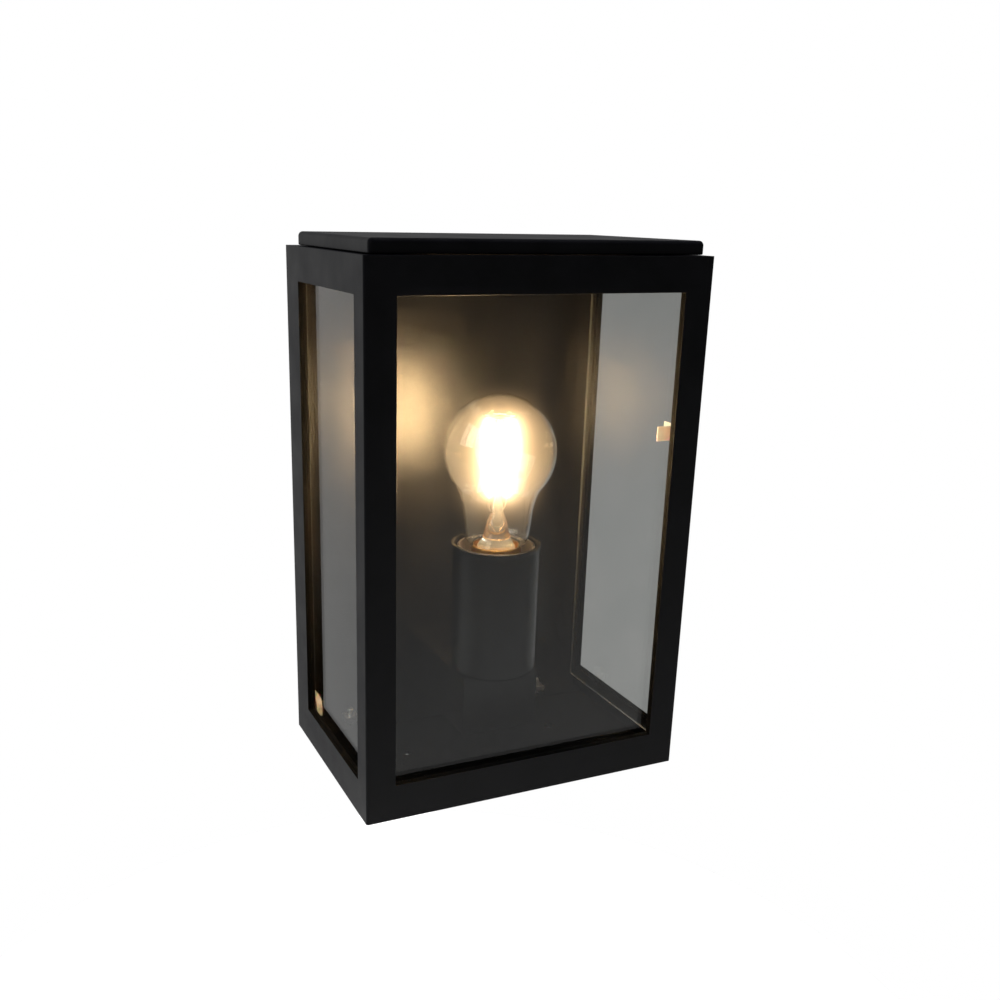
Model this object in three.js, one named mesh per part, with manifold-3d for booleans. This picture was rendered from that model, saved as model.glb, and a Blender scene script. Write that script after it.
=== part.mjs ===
// Outdoor wall lantern.
// A box-shaped metal cover with three glass panes slides over a folded back plate. A round
// lampholder cup stands on a bracket box in front of the plate and holds an E27 filament lamp.
// A slightly smaller lid with rolled edges sits on four rubber grommets above the cover.
//
// Millimetres, +Z up, +X to the right, the wall behind the plane y = 0 and the front facing -Y.
// Heights are drawn from the underside of the cover. The finished group is lowered so that the
// origin lies on the back plate's rear face, where the wall holds the lantern.

import * as THREE from 'three';
import { mergeVertices } from 'three/addons/utils/BufferGeometryUtils.js';
import Module from 'manifold-3d';

const wasm = await Module();
wasm.setup();

// ---------------------------------------------------------------- driving dimensions

const COVER = { width: 180, depth: 121, height: 273, wall: 2.5, wallGap: 1, cornerRadius: 1.2 };
const WINDOW = { low: 19.2, high: 256, frontHalf: 74.7, sideFront: -108, sideRear: -21.8 };
const PANE = { thickness: 3, low: 13, high: 262, frontHalf: 80, sideFront: -111.5, sideRear: -18.5 };
const POST = { size: 6.9, depth: 6.5 };
const SEAL = { thickness: 1.5, setBack: 0.4 };
const LID = { side: 3.7, front: 3.6, rear: 9.5, low: 273.4, high: 280, edge: 2.1, skin: 2.4, rim: 3.6 };
const HATCH = { half: 52, front: -107, rear: -37, radius: 6 };
const GROMMET_AT = { x: 72, front: -104, rear: -26 };
const GROMMET = { neck: 3.9, flange: 6.4, bore: 2.2 };
const PLATE = { thickness: 2, flange: 13, sheet: 1.5 };
const MOUNT_HEIGHT = 136;
const WALL_FIXING = { x: 50, high: 253, low: 12, headRadius: 4.5, slotHalf: 2.3, slotRise: 9 };
const CABLE_ENTRY = { x: 10, z: 32, hole: 5.5, bore: 3.2, flange: 8 };
const EARTH = { x: 13, z: 46, shank: 1.9, head: 3.7, washer: 4.6 };
const TERMINAL = { x0: -18.5, pole: 6.2, poles: 3, front: -19, low: 25, high: 43 };
const LAMP_AXIS = { x: 0, y: -73 };
const BRACKET = { half: 22, front: -84, low: 20, high: 53, sheet: 1.2 };
const LUG = { x: 28, z: 38, half: 5.5, screw: 1.9, head: 3.6 };
const NIPPLE = { radius: 5, bore: 3.4, low: 45, high: 74.6 };
const CUP = { radius: 23.1, low: 53.3, high: 124.6, wall: 1.2, lipRadius: 23.9 };
const HOLDER = { low: 66, ledge: 93, shelf: 113, high: 123.2, radius: 20.7, bore: 14.6 };
const BULB = { radius: 30, centre: 173.6, neckLow: 123.8, wall: 0.8 };
const THREAD = { crest: 13.2, root: 12.3, pitch: 3.62, turns: 4 };
const COVER_SCREW = { x: 60, y: -15, shank: 1.95, head: 3.8 };
const GAP = 0.3;
const WELD = 1e-4;

const halfWidth = COVER.width / 2;
const innerHalf = halfWidth - COVER.wall;
const coverRear = -COVER.wallGap;
const innerFront = -COVER.depth + COVER.wall;
const innerTop = COVER.height - COVER.wall;

// How far the panes' outer faces lie behind the inside of the walls, past the seals.
const PANE_SET_BACK = GAP + SEAL.thickness + GAP;
const sidePaneOuter = innerHalf - PANE_SET_BACK;
const sidePaneInner = sidePaneOuter - PANE.thickness;

// ---------------------------------------------------------------- finishes

const finish = (color, metalness, roughness, extra = {}) =>
  new THREE.MeshStandardMaterial({ color, metalness, roughness, ...extra });

const FINISH = {
  powderCoat: () => finish('#17171a', 0.2, 0.55),
  clearGlass: () => finish('#dfe6e4', 0, 0.05, { transparent: true, opacity: 0.3 }),
  rubber: () => finish('#1b1b1b', 0, 0.85),
  nylon: () => finish('#e6e4dc', 0, 0.5),
  steel: () => finish('#b9bbbd', 0.9, 0.35),
  brass: () => finish('#c9a552', 0.9, 0.3),
  blackPlastic: () => finish('#202022', 0, 0.6),
  phosphor: () => finish('#f0b43c', 0, 0.6, { emissive: '#ffb347' }),
  wireBrown: () => finish('#5a3420', 0, 0.6),
  wireBlue: () => finish('#24518f', 0, 0.6),
  wireGreen: () => finish('#6fa23c', 0, 0.6),
};

// ---------------------------------------------------------------- shape helpers

// Merge the shared vertices of a geometry and drop the triangles that collapse at an axis.
function weld(geometry) {
  const bare = geometry.clone();
  bare.deleteAttribute('normal');
  bare.deleteAttribute('uv');
  const merged = mergeVertices(bare, WELD);
  const corners = merged.index.array;
  const kept = [];
  for (let i = 0; i < corners.length; i += 3) {
    const [a, b, c] = [corners[i], corners[i + 1], corners[i + 2]];
    if (a !== b && b !== c && c !== a) kept.push(a, b, c);
  }
  merged.setIndex(kept);
  return outward(merged);
}

// Turn every triangle round when the enclosed volume comes out negative.
function outward(geometry) {
  const point = geometry.attributes.position;
  const corners = geometry.index.array;
  const [a, b, c] = [new THREE.Vector3(), new THREE.Vector3(), new THREE.Vector3()];
  let volume = 0;
  for (let i = 0; i < corners.length; i += 3) {
    a.fromBufferAttribute(point, corners[i]);
    b.fromBufferAttribute(point, corners[i + 1]);
    c.fromBufferAttribute(point, corners[i + 2]);
    volume += a.dot(b.cross(c));
  }
  if (volume < 0) geometry.setIndex(Array.from(corners).reverse());
  return geometry;
}

function solid(geometry) {
  const shell = weld(geometry);
  return new wasm.Manifold(new wasm.Mesh({
    numProp: 3,
    vertProperties: Float32Array.from(shell.attributes.position.array),
    triVerts: Uint32Array.from(shell.index.array),
  }));
}

function geometryOf(manifold) {
  const mesh = manifold.getMesh();
  const geometry = new THREE.BufferGeometry();
  geometry.setAttribute('position', new THREE.BufferAttribute(mesh.vertProperties, 3));
  geometry.setIndex(new THREE.BufferAttribute(mesh.triVerts, 1));
  return geometry;
}

const joined = (...shapes) => shapes.map(solid).reduce((whole, next) => whole.add(next));
const cut = (whole, ...tools) => tools.map(solid).reduce((rest, tool) => rest.subtract(tool), whole);

function box(x0, x1, y0, y1, z0, z1) {
  const block = new THREE.BoxGeometry(x1 - x0, y1 - y0, z1 - z0);
  return block.translate((x0 + x1) / 2, (y0 + y1) / 2, (z0 + z1) / 2);
}

// The same box on the left (side -1) or on the right (side 1) of the middle plane.
function sideBox(side, inner, outer, y0, y1, z0, z1) {
  return box(Math.min(side * inner, side * outer), Math.max(side * inner, side * outer), y0, y1, z0, z1);
}

function drum(x, y, z0, z1, radius, sides = 20) {
  const column = new THREE.CylinderGeometry(radius, radius, z1 - z0, sides);
  return column.rotateX(Math.PI / 2).translate(x, y, (z0 + z1) / 2);
}

// A cylinder along Y, for holes and screws in the back plate.
function drumThrough(x, z, y0, y1, radius, sides = 16) {
  const column = new THREE.CylinderGeometry(radius, radius, y1 - y0, sides);
  return column.translate(x, (y0 + y1) / 2, z);
}

// A straight rod between two points.
function rod(from, to, radius, sides = 8) {
  const start = new THREE.Vector3(...from);
  const way = new THREE.Vector3(...to).sub(start);
  const turn = new THREE.Quaternion().setFromUnitVectors(new THREE.Vector3(0, 1, 0),
    way.clone().normalize());
  const column = new THREE.CylinderGeometry(radius, radius, way.length(), sides);
  return column.applyQuaternion(turn).translate(...start.addScaledVector(way, 0.5).toArray());
}

// A turned shape about the vertical through (x, y). The profile holds [radius, height] pairs.
function turned(profile, x, y, sides = 32, closed = false) {
  const points = profile.map(([radius, height]) => new THREE.Vector2(radius, height));
  if (closed) points.push(points[0].clone());
  return new THREE.LatheGeometry(points, sides).rotateX(Math.PI / 2).translate(x, y, 0);
}

function roundedRect(x0, x1, y0, y1, frontRadius, rearRadius) {
  const outline = new THREE.Shape();
  const quarter = Math.PI / 2;
  const corner = (x, y, radius, start) => {
    if (radius > 0) outline.absarc(x, y, radius, start, start + quarter, false);
    else outline.lineTo(x, y);
  };
  outline.moveTo(x0 + frontRadius, y0);
  corner(x1 - frontRadius, y0 + frontRadius, frontRadius, -quarter);
  corner(x1 - rearRadius, y1 - rearRadius, rearRadius, 0);
  corner(x0 + rearRadius, y1 - rearRadius, rearRadius, quarter);
  corner(x0 + frontRadius, y0 + frontRadius, frontRadius, 2 * quarter);
  return outline;
}

function raised(outline, z0, z1, curveSegments = 3) {
  const slab = new THREE.ExtrudeGeometry(outline, { depth: z1 - z0, bevelEnabled: false, curveSegments });
  return slab.translate(0, 0, z0);
}

// A closed outline from plain corner points.
const outlineOf = (corners) => new THREE.Shape(corners.map(([u, v]) => new THREE.Vector2(u, v)));

function hexagon(acrossCorners, x, y) {
  const corners = [];
  for (let i = 0; i < 6; i += 1) {
    const angle = (i * Math.PI) / 3;
    corners.push([x + (acrossCorners / 2) * Math.cos(angle), y + (acrossCorners / 2) * Math.sin(angle)]);
  }
  return outlineOf(corners);
}

// A round wire along a smooth curve through the given points.
function wire(points, radius, steps, sides = 6) {
  const section = new THREE.Shape();
  section.absarc(0, 0, radius, 0, 2 * Math.PI, false);
  const path = new THREE.CatmullRomCurve3(points.map((p) => new THREE.Vector3(...p)));
  return new THREE.ExtrudeGeometry(section, { extrudePath: path, steps, curveSegments: sides / 2 });
}

// ---------------------------------------------------------------- assembly

const lantern = new THREE.Group();
lantern.name = 'outdoor_wall_lantern';
lantern.position.z = -MOUNT_HEIGHT;

function addPart(name, shape, material) {
  const geometry = shape.isBufferGeometry ? weld(shape) : geometryOf(shape);
  geometry.computeVertexNormals();
  const mesh = new THREE.Mesh(geometry, material);
  mesh.name = name;
  lantern.add(mesh);
}

const SIDES = [['left', -1], ['right', 1]];

// ---------------------------------------------------------------- back plate

// A sheet tray: a flat plate against the wall with four flanges turned forward. The lower flange
// has two slots open to the front, so that the slackened cover screws slide out of it.
function backPlate() {
  const half = innerHalf - GAP;
  const low = COVER.wall + GAP;
  const high = innerTop - GAP;
  const flangeFront = -PLATE.thickness - PLATE.flange;
  const tray = joined(
    box(-half, half, -PLATE.thickness, 0, low, high),
    box(-half, half, flangeFront, -PLATE.thickness / 2, high - PLATE.sheet, high),
    box(-half, half, flangeFront - 9, -PLATE.thickness / 2, low, low + PLATE.sheet),
    ...SIDES.map(([, side]) => sideBox(side, half - PLATE.sheet, half,
      flangeFront, -PLATE.thickness / 2, low, high)),
  );
  const slots = SIDES.map(([, side]) => box(side * COVER_SCREW.x - 2.4, side * COVER_SCREW.x + 2.4,
    flangeFront - 10, COVER_SCREW.y + 3.5, low - 1, low + PLATE.sheet + 1));
  const keyholes = SIDES.flatMap(([, side]) => [
    drumThrough(side * WALL_FIXING.x, WALL_FIXING.high, -4, 2, WALL_FIXING.headRadius),
    box(side * WALL_FIXING.x - WALL_FIXING.slotHalf, side * WALL_FIXING.x + WALL_FIXING.slotHalf,
      -4, 2, WALL_FIXING.high, WALL_FIXING.high + WALL_FIXING.slotRise),
  ]);
  return cut(tray, ...slots, ...keyholes,
    drumThrough(0, WALL_FIXING.low, -4, 2, WALL_FIXING.slotHalf),
    drumThrough(CABLE_ENTRY.x, CABLE_ENTRY.z, -4, 2, CABLE_ENTRY.hole),
    drumThrough(EARTH.x, EARTH.z, -4, 2, EARTH.shank + GAP),
    ...SIDES.map(([, side]) => drumThrough(side * LUG.x, LUG.z, -4, 2, LUG.screw + GAP)));
}

addPart('back_plate', backPlate(), FINISH.powderCoat());

// Rubber bush that lines the cable entry; its flange lies on the front of the plate.
const plateFront = -PLATE.thickness;
addPart('cable_grommet', cut(joined(
  drumThrough(CABLE_ENTRY.x, CABLE_ENTRY.z, plateFront - GAP - 1.8, plateFront - GAP, CABLE_ENTRY.flange),
  drumThrough(CABLE_ENTRY.x, CABLE_ENTRY.z, plateFront - 1, -GAP, CABLE_ENTRY.hole - GAP),
), drumThrough(CABLE_ENTRY.x, CABLE_ENTRY.z, -8, 1, CABLE_ENTRY.bore)), FINISH.rubber());

// A pan-head screw along Y with a cross slot, its head resting in front of seatY.
function plateScrew(x, z, seatY, headRadius, shankRadius) {
  const whole = joined(
    drumThrough(x, z, seatY - 2.2, seatY, headRadius),
    drumThrough(x, z, seatY - 1, -GAP, shankRadius, 12),
  );
  const slotDepth = seatY - 2.2 + 1.1;
  return cut(whole,
    box(x - 2.2, x + 2.2, seatY - 3, slotDepth, z - 0.4, z + 0.4),
    box(x - 0.4, x + 0.4, seatY - 3, slotDepth, z - 2.2, z + 2.2));
}

const washerFront = plateFront - GAP - 0.8;
addPart('earth_washer', cut(
  solid(drumThrough(EARTH.x, EARTH.z, washerFront, plateFront - GAP, EARTH.washer)),
  drumThrough(EARTH.x, EARTH.z, -8, 1, EARTH.shank + GAP)), FINISH.steel());
addPart('earth_screw', plateScrew(EARTH.x, EARTH.z, washerFront - GAP, EARTH.head, EARTH.shank),
  FINISH.brass());

// ---------------------------------------------------------------- mains terminals

const terminalRear = plateFront - GAP;
const poleAt = (i) => TERMINAL.x0 + TERMINAL.pole * (i + 0.5);

function terminalBlock() {
  const end = TERMINAL.x0 + TERMINAL.pole * TERMINAL.poles;
  const block = joined(
    box(TERMINAL.x0, end, TERMINAL.front + 3, terminalRear, TERMINAL.low, TERMINAL.high),
    ...Array.from({ length: TERMINAL.poles }, (_, i) =>
      box(poleAt(i) - 2.5, poleAt(i) + 2.5, TERMINAL.front, terminalRear - 1, TERMINAL.low, TERMINAL.high)),
  );
  const ways = Array.from({ length: TERMINAL.poles }, (_, i) => [
    drum(poleAt(i), -10, TERMINAL.high - 6, TERMINAL.high + 1, 1.7, 12),
    drum(poleAt(i), -10, TERMINAL.low - 1, TERMINAL.low + 6, 1.7, 12),
    drumThrough(poleAt(i), 34, TERMINAL.front - 1, TERMINAL.front + 6, 1.9, 12),
  ]).flat();
  return cut(block, ...ways);
}

addPart('terminal_block', terminalBlock(), FINISH.nylon());
for (let i = 0; i < TERMINAL.poles; i += 1) {
  const grub = solid(drumThrough(poleAt(i), 34, TERMINAL.front + 1, TERMINAL.front + 5.6, 1.55, 12));
  addPart(`terminal_screw_${i + 1}`, cut(grub,
    box(poleAt(i) - 2, poleAt(i) + 2, TERMINAL.front, TERMINAL.front + 2, 33.7, 34.3)), FINISH.brass());
}

// ---------------------------------------------------------------- holder bracket and lampholder

// A folded box, open at the back and below, with two lugs screwed to the back plate.
function holderBracket() {
  const { half, front, low, high, sheet } = BRACKET;
  const rear = plateFront - GAP;
  const shell = joined(
    box(-half, half, front, rear, high - sheet, high),
    box(-half, half, front, front + sheet, low, high),
    ...SIDES.map(([, side]) => sideBox(side, half - sheet, half, front, rear, low, high)),
    ...SIDES.map(([, side]) => sideBox(side, half - sheet, LUG.x + LUG.half,
      rear - sheet, rear, LUG.z - LUG.half, LUG.z + LUG.half)),
  );
  return cut(shell,
    drum(LAMP_AXIS.x, LAMP_AXIS.y, high - 4, high + 1, NIPPLE.radius + GAP),
    ...SIDES.map(([, side]) => drumThrough(side * LUG.x, LUG.z, -8, 0, LUG.screw + GAP)));
}

addPart('holder_bracket', holderBracket(), FINISH.powderCoat());
for (const [word, side] of SIDES) {
  const seat = plateFront - GAP - BRACKET.sheet - GAP;
  addPart(`bracket_screw_${word}`, plateScrew(side * LUG.x, LUG.z, seat, LUG.head, LUG.screw),
    FINISH.steel());
}

const { x: lampX, y: lampY } = LAMP_AXIS;
addPart('holder_nipple', turned([
  [NIPPLE.bore, NIPPLE.low], [NIPPLE.radius, NIPPLE.low],
  [NIPPLE.radius, NIPPLE.high], [NIPPLE.bore, NIPPLE.high],
], lampX, lampY, 24, true), FINISH.steel());

function locknut(low, high) {
  return cut(solid(raised(hexagon(17, lampX, lampY), low, high)),
    drum(lampX, lampY, low - 1, high + 1, NIPPLE.radius + GAP));
}
const underBracket = BRACKET.high - BRACKET.sheet - GAP;
addPart('holder_locknut_lower', locknut(underBracket - 3.5, underBracket), FINISH.steel());
addPart('holder_locknut_upper', locknut(HOLDER.low + 4 + GAP, HOLDER.low + 4 + GAP + 3.5), FINISH.steel());

// The round cup: a deep-drawn can with a small bead round its mouth and a hole for the nipple.
addPart('holder_cup', turned([
  [NIPPLE.radius + GAP, CUP.low], [CUP.radius - 2, CUP.low], [CUP.radius - 0.6, CUP.low + 0.6],
  [CUP.radius, CUP.low + 2], [CUP.radius, CUP.high - 2], [CUP.lipRadius, CUP.high - 1.4],
  [CUP.lipRadius, CUP.high - 0.4], [CUP.radius, CUP.high], [CUP.radius - CUP.wall, CUP.high - 0.3],
  [CUP.radius - CUP.wall, CUP.low + 3], [CUP.radius - 3, CUP.low + CUP.wall],
  [NIPPLE.radius + GAP, CUP.low + CUP.wall],
], lampX, lampY, 36, true), FINISH.powderCoat());

// Heat-resistant insert: base, bore for the thread shell and a thin skirt up to the cup's mouth.
addPart('holder_body', turned([
  [NIPPLE.radius + GAP, HOLDER.low], [HOLDER.radius - 2, HOLDER.low], [HOLDER.radius, HOLDER.low + 2],
  [HOLDER.radius, HOLDER.high], [HOLDER.radius - 1.3, HOLDER.high], [HOLDER.radius - 1.3, HOLDER.shelf],
  [HOLDER.bore, HOLDER.shelf], [HOLDER.bore, HOLDER.ledge], [HOLDER.bore - 1.6, HOLDER.ledge],
  [HOLDER.bore - 1.6, HOLDER.low + 4], [NIPPLE.radius + GAP, HOLDER.low + 4],
], lampX, lampY, 28, true), FINISH.blackPlastic());

const contactBaseTop = HOLDER.ledge + GAP + 3;
addPart('contact_base', cut(
  solid(drum(lampX, lampY, HOLDER.ledge + GAP, contactBaseTop, HOLDER.bore - GAP, 24)),
  ...[-6, 6].map((x) => drum(lampX + x, lampY, HOLDER.ledge, contactBaseTop + 1, 1.4, 12))),
FINISH.blackPlastic());

// Rolled thread: rounded rings one pitch apart, as [radius, height] pairs going up.
function threadRings(root, crest, start, turns) {
  const rings = [];
  for (let i = 0; i < turns; i += 1) {
    const z = start + i * THREAD.pitch;
    rings.push([root, z], [crest, z + THREAD.pitch * 0.35], [crest, z + THREAD.pitch * 0.65]);
  }
  rings.push([root, start + turns * THREAD.pitch]);
  return rings;
}

const SHELL = { inner: 13.5, outer: 14.2, low: contactBaseTop + GAP, high: 116 };
addPart('screw_shell', turned([
  [SHELL.inner, SHELL.low], [SHELL.outer, SHELL.low], [SHELL.outer, SHELL.high],
  [SHELL.inner, SHELL.high],
], lampX, lampY, 24, true), FINISH.steel());

// A springy tongue under the lamp's tip, bent up from its foot on the contact base.
function centreContact() {
  const foot = contactBaseTop + GAP;
  const strip = outlineOf([[-7.6, foot], [-4, foot], [1.8, foot + 1.1], [3, foot + 0.8],
    [3.3, foot + 1.2], [1.9, foot + 1.6], [-4.2, foot + 0.5], [-7.6, foot + 0.5]]);
  const bent = new THREE.ExtrudeGeometry(strip, { depth: 4, bevelEnabled: false });
  return bent.rotateX(Math.PI / 2).translate(lampX, lampY + 2, 0);
}

addPart('centre_contact', centreContact(), FINISH.brass());

// ---------------------------------------------------------------- internal wires

const WIRE_RADIUS = 1;
const holderEnd = HOLDER.ledge - 1;
function holderWire(x, startX) {
  return wire([[startX, -10, TERMINAL.high + GAP], [startX, -11, 45.5], [startX + 2, -24, 46.5],
    [x * 2, -52, 39], [x, lampY + 3, 38.5], [x, lampY, 43], [x, lampY, 60], [x, lampY, 74],
    [x * 2, lampY, 82], [x * 3, lampY, holderEnd]], WIRE_RADIUS, 32);
}
addPart('wire_live', holderWire(-1.6, poleAt(0)), FINISH.wireBrown());
addPart('wire_neutral', holderWire(1.6, poleAt(1)), FINISH.wireBlue());
addPart('wire_earth', wire([[poleAt(2), -10, TERMINAL.high + GAP], [poleAt(2) + 1, -10.5, 46],
  [4, -11, 49.3], [9, -11, 50], [12.6, -9.6, 48.5], [EARTH.x, -7.6, EARTH.z]],
WIRE_RADIUS, 20), FINISH.wireGreen());

// ---------------------------------------------------------------- pane stop

// A pale nylon stop at the foot of the left flange that keeps the glass from rattling.
const STOP = { reach: 3.2, front: -20.5, rear: -5, low: 13, high: 23.5 };
function paneStop() {
  const paneInner = sidePaneInner - GAP;
  const outline = new THREE.Shape();
  const radius = 4;
  outline.moveTo(STOP.rear, STOP.low);
  outline.lineTo(STOP.rear, STOP.high);
  outline.lineTo(STOP.front + radius, STOP.high);
  outline.absarc(STOP.front + radius, STOP.high - radius, radius, Math.PI / 2, Math.PI, false);
  outline.lineTo(STOP.front, STOP.low);
  const leaf = new THREE.ExtrudeGeometry(outline,
    { depth: STOP.reach, bevelEnabled: false, curveSegments: 5 });
  const upright = new THREE.Matrix4().makeBasis(new THREE.Vector3(0, 1, 0),
    new THREE.Vector3(0, 0, 1), new THREE.Vector3(1, 0, 0));
  leaf.applyMatrix4(upright).translate(-paneInner, 0, 0);
  const flangeInner = innerHalf - GAP - PLATE.sheet - GAP;
  return joined(leaf, box(-flangeInner, -paneInner + 1, -14, STOP.rear, STOP.low, STOP.high));
}
addPart('pane_stop', paneStop(), FINISH.nylon());

// ---------------------------------------------------------------- lamp

const CAP = { low: 102, skirt: 119, high: 123.5, wall: 0.6 };

addPart('lamp_cap', turned([
  [9.6, CAP.low], [THREAD.root, CAP.low + 1.2],
  ...threadRings(THREAD.root, THREAD.crest, CAP.low + 1.6, THREAD.turns),
  [THREAD.root, CAP.skirt], [THREAD.crest, CAP.skirt + 0.8], [THREAD.crest, CAP.high],
  [THREAD.root - CAP.wall, CAP.high], [THREAD.root - CAP.wall, CAP.low + 1.8], [9.6, CAP.low + 0.7],
], lampX, lampY, 24, true), FINISH.brass());

addPart('lamp_insulator', turned([
  [0, 99.3], [4.6, 99.3], [5.2, 100.2], [9.2, CAP.low - GAP], [9, CAP.low + 1.4], [0, CAP.low + 1.4],
], lampX, lampY, 24), FINISH.blackPlastic());

addPart('lamp_contact', turned([
  [0, 98.1], [2.6, 98.25], [4.2, 98.6], [4.2, 99], [0, 99],
], lampX, lampY, 20), FINISH.steel());

// Outline of the glass from the crown down to the neck, at a given distance inside the surface.
function bulbOutline(inset) {
  const leave = (128 * Math.PI) / 180;
  const radius = BULB.radius - inset;
  const ball = [];
  const steps = 10;
  for (let i = 0; i <= steps; i += 1) {
    const angle = (leave * i) / steps;
    ball.push([radius * Math.sin(angle), BULB.centre + radius * Math.cos(angle)]);
  }
  const [ballRadius, ballHeight] = ball[ball.length - 1];
  const shoulder = new THREE.CubicBezierCurve(
    new THREE.Vector2(ballRadius, ballHeight),
    new THREE.Vector2(ballRadius - 3.2, ballHeight - 4.2),
    new THREE.Vector2(18.9 - inset, 145),
    new THREE.Vector2(18.3 - inset, 138),
  );
  const slope = shoulder.getPoints(4).slice(1).map((p) => [p.x, p.y]);
  return [...ball, ...slope, [16.7 - inset, 127], [15.6 - inset, 125]];
}

addPart('lamp_envelope', turned([
  ...bulbOutline(0), [13.3, BULB.neckLow], [11.9, BULB.neckLow],
  ...bulbOutline(BULB.wall).reverse(),
], lampX, lampY, 30), FINISH.clearGlass());

// Flared glass foot that narrows to a pinch and carries a thin post.
const STEM = { low: 121.6, pinch: 147.5, postRadius: 1.3, top: 190.6 };
addPart('lamp_stem', turned([
  [0, STEM.low], [9.6, STEM.low], [10.4, STEM.low + 0.8], [8.2, 126], [6.7, 130], [6, 134],
  [4, 139], [2.9, 143], [2.5, STEM.pinch], [STEM.postRadius, STEM.pinch + 2],
  [STEM.postRadius, STEM.top - 0.6], [0, STEM.top],
], lampX, lampY, 16), FINISH.clearGlass());

// Four sticks lean out from the stem to a small wire crown on the post.
const STICK = { count: 4, radius: 0.95, lowRing: 6.4, highRing: 8.2, low: 151, high: 189.6, turn: 22 };
const stickAngle = (i) => ((STICK.turn + (360 * i) / STICK.count) * Math.PI) / 180;
const around = (ring, angle, z) => [lampX + ring * Math.cos(angle), lampY + ring * Math.sin(angle), z];
for (let i = 0; i < STICK.count; i += 1) {
  const angle = stickAngle(i);
  addPart(`filament_${i + 1}`, rod(around(STICK.lowRing, angle, STICK.low),
    around(STICK.highRing, angle, STICK.high), STICK.radius, 10), FINISH.phosphor());
}

const CROWN = { height: 191.8, wire: 0.45 };
addPart('filament_crown', joined(
  new THREE.TorusGeometry(STICK.highRing, CROWN.wire, 6, 16).translate(lampX, lampY, CROWN.height),
  ...[0, 1].map((i) => rod(around(STICK.highRing, stickAngle(i), CROWN.height),
    around(-STICK.highRing, stickAngle(i), CROWN.height), CROWN.wire * 0.9)),
), FINISH.steel());

for (const [word, side] of SIDES) {
  const angle = stickAngle(0) + (side < 0 ? Math.PI : 0);
  addPart(`lead_wire_${word}`, wire([around(3.6, angle, 141.5), around(5.4, angle, 142.5),
    around(6.9, angle, 146), around(STICK.lowRing + 0.1, angle, STICK.low - 0.5)],
  0.4, 8, 6), FINISH.steel());
}

// ---------------------------------------------------------------- cover

// One casting: front, sides, roof and floor with three windows, open towards the wall. Posts in
// the two front corners carry the glass clips.
function coverFrame() {
  const front = -COVER.depth;
  const shell = cut(
    solid(raised(roundedRect(-halfWidth, halfWidth, front, coverRear, COVER.cornerRadius, 0),
      0, COVER.height)),
    box(-innerHalf, innerHalf, innerFront, 10, COVER.wall, innerTop),
    box(-WINDOW.frontHalf, WINDOW.frontHalf, front - 5, innerFront + 5, WINDOW.low, WINDOW.high),
    box(-halfWidth - 5, halfWidth + 5, WINDOW.sideFront, WINDOW.sideRear, WINDOW.low, WINDOW.high),
    raised(roundedRect(-HATCH.half, HATCH.half, HATCH.front, HATCH.rear, HATCH.radius, HATCH.radius),
      innerTop - 2, COVER.height + 2),
    ...grommetPlaces().map(([x, y]) => drum(x, y, innerTop - 2, COVER.height + 2, GROMMET.neck + GAP)),
    ...[-45, 45].map((x) => drum(x, -60, -2, COVER.wall + 2, 2.5, 16)),
    ...SIDES.map(([, side]) => turned(countersink(GAP), side * COVER_SCREW.x, COVER_SCREW.y, 20)),
  );
  const posts = SIDES.map(([, side]) => solid(sideBox(side, innerHalf - POST.size, innerHalf + 1,
    innerFront - 1, innerFront + POST.depth, COVER.wall - 1, innerTop + 1)));
  return posts.reduce((whole, post) => whole.add(post), shell);
}

function grommetPlaces() {
  const rows = [GROMMET_AT.front, GROMMET_AT.rear];
  return SIDES.flatMap(([, side]) => rows.map((y) => [side * GROMMET_AT.x, y]));
}

// Flush screw head and shank below the cover's floor, grown by a clearance for its hole.
function countersink(clearance) {
  const { head, shank } = COVER_SCREW;
  const over = clearance > 0 ? 1 : 0;
  return [[0, -over], [head + clearance, -over], [head + clearance, 0.5 - clearance + over * GAP],
    [shank + clearance, 2.2], [shank + clearance, 5], [0, 5]];
}

addPart('cover_frame', coverFrame(), FINISH.powderCoat());

const paneFrontFace = innerFront + PANE_SET_BACK;
addPart('pane_front', box(-PANE.frontHalf, PANE.frontHalf, paneFrontFace, paneFrontFace + PANE.thickness,
  PANE.low, PANE.high), FINISH.clearGlass());
for (const [word, side] of SIDES) {
  addPart(`pane_${word}`, sideBox(side, sidePaneInner, sidePaneOuter,
    PANE.sideFront, PANE.sideRear, PANE.low, PANE.high), FINISH.clearGlass());
}

// Black strips between the walls and the glass. They follow the edge of each pane and leave the
// window free.
const windowLow = WINDOW.low - SEAL.setBack;
const windowHigh = WINDOW.high + SEAL.setBack;
addPart('seal_front', cut(
  solid(box(-PANE.frontHalf, PANE.frontHalf, innerFront + GAP, innerFront + GAP + SEAL.thickness,
    PANE.low, PANE.high)),
  box(-WINDOW.frontHalf - SEAL.setBack, WINDOW.frontHalf + SEAL.setBack, innerFront - 1,
    innerFront + 4, windowLow, windowHigh)), FINISH.rubber());
for (const [word, side] of SIDES) {
  addPart(`seal_${word}`, cut(
    solid(sideBox(side, innerHalf - GAP - SEAL.thickness, innerHalf - GAP,
      PANE.sideFront, PANE.sideRear, PANE.low, PANE.high)),
    sideBox(side, innerHalf - 4, innerHalf + 1, WINDOW.sideFront - SEAL.setBack,
      WINDOW.sideRear + SEAL.setBack, windowLow, windowHigh)), FINISH.rubber());
}

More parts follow.
